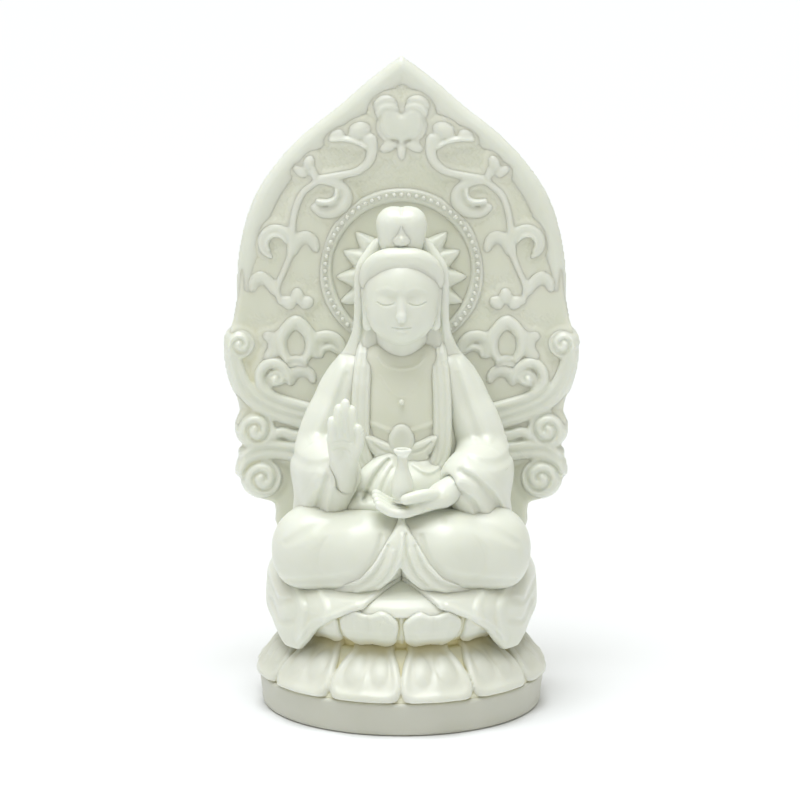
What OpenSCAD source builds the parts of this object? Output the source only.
// Seated robed figure on a double lotus pedestal, before a pointed backplate carved in relief.
// Pale jade figurine, built up from its carved pieces. Millimetres, +Z up, face towards -Y.

/* [Pedestal] */
// Diameter of the round plinth
plinth_d = 68; // [67:0.5:72]
// Height of the plinth's plain band
plinth_h = 8; // [6:0.5:8]
// Number of petals in each lotus row
petal_count = 12; // [10:1:14]
// Radius of the narrow waist between the two lotus rows
waist_r = 24; // [22:0.5:26]

/* [Backplate] */
// Height of the backplate's point above the floor
total_h = 150; // [148:1:154]
// Thickness of the backplate's slab
slab_t = 7; // [5:0.5:8]
// Width of the raised border that follows the pointed arch
rim_w = 2.6; // [2:0.2:3.4]
// How far the carved relief stands out of the slab
relief_t = 1.8; // [1.2:0.2:2.4]

/* [Halo] */
// Outer radius of the halo ring behind the head
halo_r = 19.3; // [18.5:0.1:19.5]
// Number of beads in the halo ring
bead_count = 64; // [48:4:72]

/* [Hidden] */

RIGHT = -1;            // the figure's own right hand side lies at -X
LEFT = 1;
jade = [0.90, 0.92, 0.84];
jade_light = [0.94, 0.95, 0.90];
jade_deep = [0.84, 0.86, 0.76];

soft_fn = 14;          // facets of the rounded carved forms
round_fn = 64;         // facets of turned forms
plinth_r = plinth_d / 2;
lower_top = 18;        // top of the drooping petal row
waist_top = 19.5;
upper_top = 28;        // rim of the upright petal row
seat_top = 31.5;
seat_r = 27.5;
core_foot_r = 31;      // the drooping row's core where it stands on the plinth
bowl_r = 27.6;         // the upright row's core at its rim
slab_front = 13;       // Y of the slab's front face
slab_foot = 31.5;      // the slab stands on the seat
halo_z = 100.2;
halo_ring_w = 2.6;
bead_r = 0.55;

// ---------------------------------------------------------------- helpers

// Catmull-Rom point between p[1] and p[2]
function spline_at(p, t) =
    0.5 * ((2 * p[1]) + (p[2] - p[0]) * t
    + (2 * p[0] - 5 * p[1] + 4 * p[2] - p[3]) * t * t
    + (3 * p[1] - p[0] - 3 * p[2] + p[3]) * t * t * t);

// Smooth curve through the points, with n steps in each stretch
function spline(p, n = 5) = let (last = len(p) - 1) [
    for (i = [0:last - 1], k = [0:n - 1])
        spline_at([p[max(i - 1, 0)], p[i], p[i + 1], p[min(i + 2, last)]], k / n),
    p[last]
];

function across(a, b) = let (d = b - a, l = max(norm(d), 0.001)) [-d[1], d[0]] / l;

// Outline of a band that follows a curve; its half width runs from w0 to w1
function band(path, w0, w1) = let (last = len(path) - 1) concat(
    [for (i = [0:last]) path[i] + across(path[max(i - 1, 0)], path[min(i + 1, last)])
        * (w0 + (w1 - w0) * i / last)],
    [for (i = [last:-1:0]) path[i] - across(path[max(i - 1, 0)], path[min(i + 1, last)])
        * (w0 + (w1 - w0) * i / last)]
);

// Points of a spiral that opens from r0 to r1 over the given angles
function spiral(centre, r0, r1, a0, a1, n = 26) = [
    for (i = [0:n]) let (t = i / n, r = r0 + (r1 - r0) * t, a = a0 + (a1 - a0) * t)
        centre + r * [cos(a), sin(a)]
];

function reversed(path) = [for (i = [len(path) - 1:-1:0]) path[i]];

// The outline on the asked side, always drawn the same way round
function flip(path, side) = side > 0 ? path : [for (p = reversed(path)) [-p[0], p[1]]];

module ball(p, r) {
    translate(p) scale(r) sphere(1, $fn = soft_fn);
}

// Rounded limb through points, each with its own radius
module limb(points, radii) {
    for (i = [0:len(points) - 2])
        hull() {
            ball(points[i], radii[i]);
            ball(points[i + 1], radii[i + 1]);
        }
}

// Stands an XZ drawing up, from the slab's front face towards -Y
module on_slab(t) {
    translate([0, slab_front, 0]) rotate([90, 0, 0]) linear_extrude(t) children();
}

// ---------------------------------------------------------------- pedestal

module plinth() {
    edge = 0.8;
    color(jade) rotate_extrude($fn = round_fn) polygon([
        [0, 0], [plinth_r - edge, 0], [plinth_r, edge],
        [plinth_r, plinth_h - edge], [plinth_r - edge, plinth_h], [0, plinth_h]
    ]);
}

module lower_core_solid() {
    rotate_extrude($fn = round_fn) polygon([
        [0, plinth_h], [core_foot_r, plinth_h], [core_foot_r - 2.6, plinth_h + 3],
        [waist_r + 1.2, lower_top - 2], [waist_r, lower_top], [0, lower_top]
    ]);
}

module lower_lotus_core() {
    color(jade_deep) lower_core_solid();
}

// One drooping petal, lying on the core's slope with its tip over the plinth's edge
module drooping_petal() {
    difference() {
        hull() {
            for (s = [-1, 1]) {
                ball([s * 4.6, -30.4, plinth_h + 2.2], [2.4, 2.2, 2.2]);
                ball([s * 3.6, -26.6, lower_top - 2.6], [2.0, 2.2, 2.2]);
            }
        }
        lower_core_solid();
        cylinder(r = plinth_r + 5, h = plinth_h);
    }
}

module lower_petals() {
    color(jade) for (i = [0:petal_count - 1])
        rotate([0, 0, (i + 0.5) * 360 / petal_count]) drooping_petal();
}

module lotus_waist() {
    color(jade_deep) translate([0, 0, lower_top])
        cylinder(r = waist_r - 0.6, h = waist_top - lower_top, $fn = round_fn);
}

module upper_core_solid() {
    rotate_extrude($fn = round_fn) polygon([
        [0, waist_top], [waist_r - 0.6, waist_top], [bowl_r - 0.8, waist_top + 3.6],
        [bowl_r, upper_top], [0, upper_top]
    ]);
}

module upper_lotus_core() {
    color(jade_deep) upper_core_solid();
}

// One upright petal, swelling out of the bowl, cut back where the robe hangs over it
module upright_petal() {
    difference() {
        hull() {
            ball([0, -25, waist_top + 2.2], [4.6, 2.2, 2.2]);
            for (s = [-1, 1])
                ball([s * 3.9, -27.0, upper_top - 2.6], [2.9, 2.4, 2.4]);
        }
        upper_core_solid();
    }
}

module upper_petals() {
    color(jade) difference() {
        for (i = [0:petal_count - 1])
            rotate([0, 0, (i + 0.5) * 360 / petal_count]) upright_petal();
        robe_hem_solid(RIGHT);
        robe_hem_solid(LEFT);
    }
}

module lotus_seat() {
    color(jade) translate([0, 0, upper_top])
        cylinder(r1 = seat_r, r2 = seat_r - 2, h = seat_top - upper_top, $fn = round_fn);
}

// ---------------------------------------------------------------- robed figure

module knee_solid(side) {
    limb([[side * 20, 6, 39], [side * 20.6, -14, 39], [side * 8.5, -19, 38.6]],
        [[8, 8, 7.6], [8.4, 10, 8.8], [7.6, 8.6, 8.2]]);
}

module torso_solid() {
    hull() {
        ball([0, 4, 38], [15, 8.6, 7]);
        ball([0, 3, 62], [12.4, 9, 8]);
    }
    hull() {
        ball([0, 3, 62], [12.4, 9, 8]);
        ball([0, 3, 76], [13.5, 6.5, 5]);
    }
}

// Flat floor that the seated figure rests on, and the slab that it leans on
module trimmed_figure() {
    difference() {
        children();
        translate([-50, -50, 0]) cube([100, 100, seat_top]);
        translate([-50, slab_front, 0]) cube([100, 40, 160]);
    }
}

module knee(side) {
    color(jade_light) trimmed_figure() difference() {
        knee_solid(side);
        torso_solid();
        sleeve_solid(side);
        translate([side > 0 ? -30 : 0.3, -40, 0]) cube([29.7, 80, 80]);
    }
}

module right_knee() { knee(RIGHT); }
module left_knee() { knee(LEFT); }

// Robe skirt that hangs from the knee over the lotus rim, with a slanting hem
module robe_hem_solid(side) {
    inner_r = 27.9;
    outer_r = 31.6;
    hem_top = 36;
    intersection() {
        difference() {
            cylinder(r = outer_r, h = hem_top, $fn = round_fn);
            translate([0, 0, -1]) cylinder(r = inner_r, h = hem_top + 2, $fn = round_fn);
        }
        translate([0, 40, 0]) rotate([90, 0, 0]) linear_extrude(80) polygon(flip([
            [10, 29.6], [15.5, 25.6], [21.6, 21], [24.6, 17], [27.5, 17.4], [40, 21], [40, 36], [14, 36]
        ], side));
        translate([-50, -50, 0]) cube([100, 52, 50]);
    }
}

module robe_hem(side) {
    color(jade) difference() {
        robe_hem_solid(side);
        knee_solid(side);
    }
}

module right_robe_hem() { robe_hem(RIGHT); }
module left_robe_hem() { robe_hem(LEFT); }

// Cloth that falls between the knees and spreads over the front of the seat
module lap_fold() {
    color(jade_light) difference() {
        hull() {
            ball([0, -20, 45], [3, 2.6, 2.4]);
            ball([0, -24.5, 32.4], [10.5, 3, 2.6]);
        }
        knee_solid(RIGHT);
        knee_solid(LEFT);
        left_hand_solid();
        translate([-50, -50, 0]) cube([100, 100, seat_top]);
    }
}

module torso() {
    color(jade) trimmed_figure() difference() {
        torso_solid();
        neck_solid();
        chest_panel_solid();
    }
}

// The bare chest and under-robe seen in the opening of the outer robe
module chest_panel_solid() {
    half = spline([[0, 50], [5, 51.5], [8.2, 58], [8.6, 70], [8, 80]], 4);
    translate([0, -4.5, 0]) rotate([90, 0, 0]) linear_extrude(3.2)
        polygon(concat(half, [for (i = [len(half) - 1:-1:1]) [-half[i][0], half[i][1]]]));
}

module chest_panel() {
    color(jade_deep) difference() {
        chest_panel_solid();
        neck_solid();
        collar_solid();
        chest_lotus_solid();
    }
}

// Three rounded petals across the chest
module chest_lotus_solid() {
    translate([0, -6.2, 0]) rotate([90, 0, 0]) linear_extrude(2.4) {
        translate([0, 62.6]) circle(r = 3, $fn = 32);
        for (s = [-1, 1])
            polygon(flip([[1.5, 61], [3.4, 62.4], [5.4, 63.6], [6.6, 63.6], [5.6, 60.4], [3.4, 58.2], [1.5, 58]], s));
    }
}

module chest_lotus() {
    color(jade) chest_lotus_solid();
}

// Long rolled edge of the robe's opening, in a U from the neck to the waist
module collar_solid() {
    path = [[-8.2, 79, -6], [-9, 70, -7.4], [-8.4, 60, -7.8], [-5, 54.4, -8.2], [0, 52.6, -8.4],
        [5, 54.4, -8.2], [8.4, 60, -7.8], [9, 70, -7.4], [8.2, 79, -6]];
    limb([for (p = path) [p[0], p[2], p[1]]], [for (p = path) [1.2, 1.2, 1.2]]);
}

module collar_band() {
    color(jade_light) difference() {
        collar_solid();
        left_hand_solid();
    }
}

module sleeve_solid(side) {
    shoulder = [side * 13.4, 3, 76];
    elbow = [side * 20, -1, 59];
    wrist = side < 0 ? [-15, -15, 58] : [14.5, -14, 55.5];
    cuff = side < 0 ? [-16.5, -12, 48] : [20, -8, 49];
    limb([shoulder, elbow, wrist], [[4.8, 5.4, 5], [5.4, 6, 6], [3.4, 3.6, 4.2]]);
    hull() {
        ball(elbow, [5.2, 6, 6]);
        ball(cuff, [4.6, 4.6, 3]);
        ball(wrist, [3.2, 3.4, 4]);
        ball([side * 22, -4, 45], [4.6, 6, 3.4]);
    }
}

module sleeve(side) {
    color(jade) trimmed_figure() difference() {
        sleeve_solid(side);
        torso_solid();
        collar_solid();
        if (side < 0) right_hand_solid();
        if (side > 0) left_hand_solid();
    }
}

module right_sleeve() { sleeve(RIGHT); }
module left_sleeve() { sleeve(LEFT); }

// Raised open hand: wrist, palm, four closed fingers and the thumb
module right_hand_solid() {
    limb([[-14.4, -14, 57], [-13, -18.4, 60]], [[2.6, 2.6, 2.6], [2.5, 2.1, 2.6]]);
    hull() {
        ball([-13, -18.4, 60], [2.5, 2.1, 2.6]);
        ball([-13, -19.4, 66], [3.5, 1.5, 3]);
        ball([-12.6, -20, 72], [2.8, 1.1, 2.2]);
    }
    limb([[-10.4, -19.6, 62.6], [-9.6, -20.8, 67.6]], [[1.4, 1.4, 1.6], [0.9, 0.9, 1.1]]);
}

module right_hand() {
    color(jade_light) right_hand_solid();
}

// Cupped hand held level in front of the waist, with the thumb over the vase's foot
module left_hand_solid() {
    limb([[14.5, -14, 55], [9.5, -18.6, 53.4], [3, -21.4, 51.2], [-3.6, -22.2, 51.4]],
        [[2.8, 2.8, 2.8], [2.8, 2.6, 2.3], [3.2, 2.6, 1.6], [1.2, 1.4, 1.1]]);
    limb([[5, -21.4, 53.6], [1.6, -23.4, 53.6]], [[1.3, 1.3, 1.2], [0.9, 0.9, 0.9]]);
}

module left_hand() {
    color(jade_light) difference() {
        left_hand_solid();
        vase_solid();
    }
}

module vase_solid() {
    translate([0.2, -21, 51.6]) rotate_extrude($fn = round_fn) polygon([
        [0, 0], [1.9, 0], [2.6, 1.4], [3.1, 3.4], [2.7, 5.6], [1.6, 7.8],
        [1.2, 9.4], [1.2, 10.6], [1.7, 11.2], [1.7, 12.4], [0, 12.4]
    ]);
}

module vase() {
    color(jade_light) vase_solid();
}

// ---------------------------------------------------------------- head and hair

module neck_solid() {
    hull() {
        ball([0, 1.6, 74.5], [4.8, 4.2, 3]);
        ball([0, 0.6, 88], [4.4, 4.6, 3]);
    }
}

module skull_solid() {
    hull() {
        ball([0, -0.6, 98], [8.2, 9, 8]);
        ball([0, -2.8, 90.4], [6.6, 7, 5.6]);
        ball([0, -6.4, 86.6], [2.8, 2.8, 2.4]);
    }
}

module head() {
    color(jade_light) {
        skull_solid();
        neck_solid();
    }
}

module hair_cap_solid() {
    ball([0, 0.2, 98.4], [9.4, 9.8, 8.6]);
}

module front_hair() {
    color(jade) difference() {
        hair_cap_solid();
        skull_solid();
        translate([0, -14, 94]) rotate([90, 0, 0]) cylinder(r = 7.9, h = 30, center = true, $fn = 32);
        translate([-20, -20, 70]) cube([40, 40, 22]);
        topknot_solid();
    }
}

module topknot_solid() {
    for (s = [-1, 1])
        ball([s * 2.7, -0.6, 112.6], [3.4, 4.2, 4.4]);
    hull() {
        ball([0, -0.6, 111], [5.2, 4.6, 3.6]);
        ball([0, -0.4, 107], [4.4, 4.4, 2.6]);
    }
}

module topknot() {
    color(jade) topknot_solid();
}

module hair_jewel() {
    color(jade_light) difference() {
        hull() {
            ball([0, -4.4, 109.4], [2.2, 1.4, 1.6]);
            ball([0, -4.6, 112], [0.8, 1, 1]);
        }
        topknot_solid();
    }
}

// Veil that falls from the topknot, outside the cheek, to the shoulder
module veil(side) {
    color(jade) difference() {
        limb([[side * 5, 3, 110], [side * 10, 4, 101], [side * 11.2, 3, 92], [side * 12.6, 1, 84],
            [side * 14.4, 0, 80]],
            [[1.8, 4, 2.2], [1.8, 5, 3], [1.8, 5, 3], [2.6, 5, 3], [3, 5, 2.6]]);
        hair_cap_solid();
        skull_solid();
        topknot_solid();
        torso_solid();
        sleeve_solid(side);
        neck_solid();
    }
}

module right_veil() { veil(RIGHT); }
module left_veil() { veil(LEFT); }

// ---------------------------------------------------------------- backplate

// Right half of the backplate's outline, from the point down to the seat
half_outline = [
    [0, total_h], [7.4, 144.4], [13.8, 138.8], [24.8, 129.8], [33.6, 118.4], [37.6, 106],
    [38.6, 94.6]
];

half_scroll_edge = [
    [38.6, 94.6], [39.8, 88.6], [41.2, 83.4], [39.4, 78.2], [39.6, 72], [38.6, 66.6],
    [39.4, 63.4], [36.4, 57.8], [37.2, 52.6], [34.6, 45.8], [30.4, 43.8], [29.6, 37.6],
    [21, slab_foot]
];

arch = spline(half_outline, 4);
edge_line = concat(arch, [for (p = spline(half_scroll_edge, 3)) if (p[1] < 94.5) p]);

module backplate_outline() {
    polygon(concat(edge_line, [for (i = [len(edge_line) - 1:-1:1]) [-edge_line[i][0], edge_line[i][1]]]));
}

module backplate_slab() {
    color(jade_deep) translate([0, slab_front + slab_t, 0]) rotate([90, 0, 0])
        linear_extrude(slab_t) backplate_outline();
}

// Inner line of the border, a rim's width inside the arch, from the point down
inner_point = [0, total_h - rim_w * 1.7];
inner_arch = concat([inner_point], [for (i = [1:len(arch) - 1])
    let (n = across(arch[i - 1], arch[min(i + 1, len(arch) - 1)]), p = arch[i] - n * rim_w)
        if (p[0] > 1 && p[1] < inner_point[1]) p]);

// Half of the border; the two halves meet under the point
module rim_half(side) {
    polygon(flip(concat(arch, reversed(inner_arch)), side));
}

module backplate_rim() {
    color(jade) on_slab(relief_t) {
        rim_half(RIGHT);
        rim_half(LEFT);
    }
}

module halo_ring() {
    color(jade) on_slab(relief_t * 0.6) translate([0, halo_z]) difference() {
        circle(r = halo_r, $fn = round_fn);
        circle(r = halo_r - halo_ring_w, $fn = round_fn);
    }
}

// Beads that stand on the ring, a hair apart
module halo_beads() {
    bead_y = slab_front - relief_t * 0.6;
    color(jade_light) intersection() {
        for (i = [0:bead_count - 1])
            translate([0, bead_y, halo_z]) rotate([0, i * 360 / bead_count, 0])
                translate([halo_r - halo_ring_w / 2, 0, 0]) sphere(bead_r, $fn = round_fn);
        translate([-50, bead_y - 5, 0]) cube([100, 5, 160]);
    }
}

// Pointed rays that spread from behind the head
module halo_rays() {
    ray_angles = [-28, -4, 20, 42, 66];
    color(jade) on_slab(relief_t) translate([0, halo_z - 2])
        for (s = [-1, 1], a = ray_angles)
            polygon(flip([
                [10 * cos(a - 11), 10 * sin(a - 11)], [15.4 * cos(a), 15.4 * sin(a)],
                [10 * cos(a + 11), 10 * sin(a + 11)]
            ], s));
}

// Scrolling stem with curled leaves, on one half of the slab
stem_points = [[9, 124], [14, 121.6], [22.4, 118.6], [26.6, 112], [27.8, 104], [27.2, 98], [29.6, 92], [27, 86.6]];

module vine(side) {
    color(jade) on_slab(relief_t) {
        polygon(flip(band(spline(stem_points, 5), 0.9, 0.7), side));
        polygon(flip(band(spiral([12.2, 130.2], 1.2, 5.6, 60, -200), 0.5, 1.1), side));
        polygon(flip(band(spiral([17.8, 113.6], 1, 4.6, -120, 150), 0.5, 1), side));
        polygon(flip(band(spiral([32.4, 104.6], 1, 4.2, -120, 170), 0.5, 1), side));
        polygon(flip(band(spiral([23, 104], 0.9, 3.6, 250, 10), 0.5, 1), side));
        translate([side * 24.6, 121.6]) circle(r = 2.2, $fn = 24);
        translate([side * 33.4, 94.8]) circle(r = 2.8, $fn = 24);
    }
}

module right_vine() { vine(RIGHT); }
module left_vine() { vine(LEFT); }

// Open lotus flower beside the shoulder
module blossom(side) {
    color(jade) on_slab(relief_t) translate([side * 25, 82.4]) {
        circle(r = 3.4, $fn = 32);
        for (a = [20:35:160])
            rotate(a) translate([4, 0]) circle(r = 2, $fn = 24);
    }
}

module right_blossom() { blossom(RIGHT); }
module left_blossom() { blossom(LEFT); }

// Cloud scrolls down the edge: each is a boss with a spiral on it and a tail towards the figure
scroll_centres = [[37.4, 83.4], [30.4, 76.4], [34.8, 63.6], [32.6, 51.6]];
scroll_radii = [3.6, 4, 4.4, 4.6];
scroll_tails = [
    [[34.6, 80], [31, 74], [30, 68]],
    [[27, 73.6], [26.6, 70], [25.6, 66]],
    [[31, 66.8], [28, 62.6], [25, 61.6]],
    [[30, 56], [27.6, 57.2], [25.6, 56.4]]
];

module cloud_scrolls(side) {
    boss_t = relief_t * 0.8;
    color(jade) {
        on_slab(boss_t) {
            for (i = [0:len(scroll_centres) - 1]) {
                translate([side * scroll_centres[i][0], scroll_centres[i][1]])
                    circle(r = scroll_radii[i], $fn = 32);
                polygon(flip(band(spline(scroll_tails[i], 4), 1.5, 1), side));
            }
        }
        translate([0, -boss_t, 0]) on_slab(relief_t * 0.7)
            for (i = [0:len(scroll_centres) - 1])
                polygon(flip(band(spiral(scroll_centres[i], 0.8, scroll_radii[i] - 0.7, 0, 500), 0.35, 0.6), side));
    }
}

module right_cloud_scrolls() { cloud_scrolls(RIGHT); }
module left_cloud_scrolls() { cloud_scrolls(LEFT); }

// Bud with two curled lobes under the point of the arch
module crest_blossom() {
    color(jade) on_slab(relief_t) {
        polygon(concat(
            spline([[0, 127.4], [3.4, 131], [5.6, 135], [6.2, 139], [4, 141.6], [1.6, 141], [0, 139.4]], 4),
            spline([[-1.6, 141], [-4, 141.6], [-6.2, 139], [-5.6, 135], [-3.4, 131]], 4)
        ));
    }
}

// ---------------------------------------------------------------- assembly

plinth();
lower_lotus_core();
lower_petals();
lotus_waist();
upper_lotus_core();
upper_petals();
lotus_seat();
right_knee();
left_knee();
right_robe_hem();
left_robe_hem();
lap_fold();
torso();
chest_panel();
chest_lotus();
collar_band();
right_sleeve();
left_sleeve();
right_hand();
left_hand();
vase();
head();
front_hair();
topknot();
hair_jewel();
right_veil();
left_veil();
backplate_slab();
backplate_rim();
halo_ring();
halo_beads();
halo_rays();
right_vine();
left_vine();
right_blossom();
left_blossom();
right_cloud_scrolls();
left_cloud_scrolls();
crest_blossom();
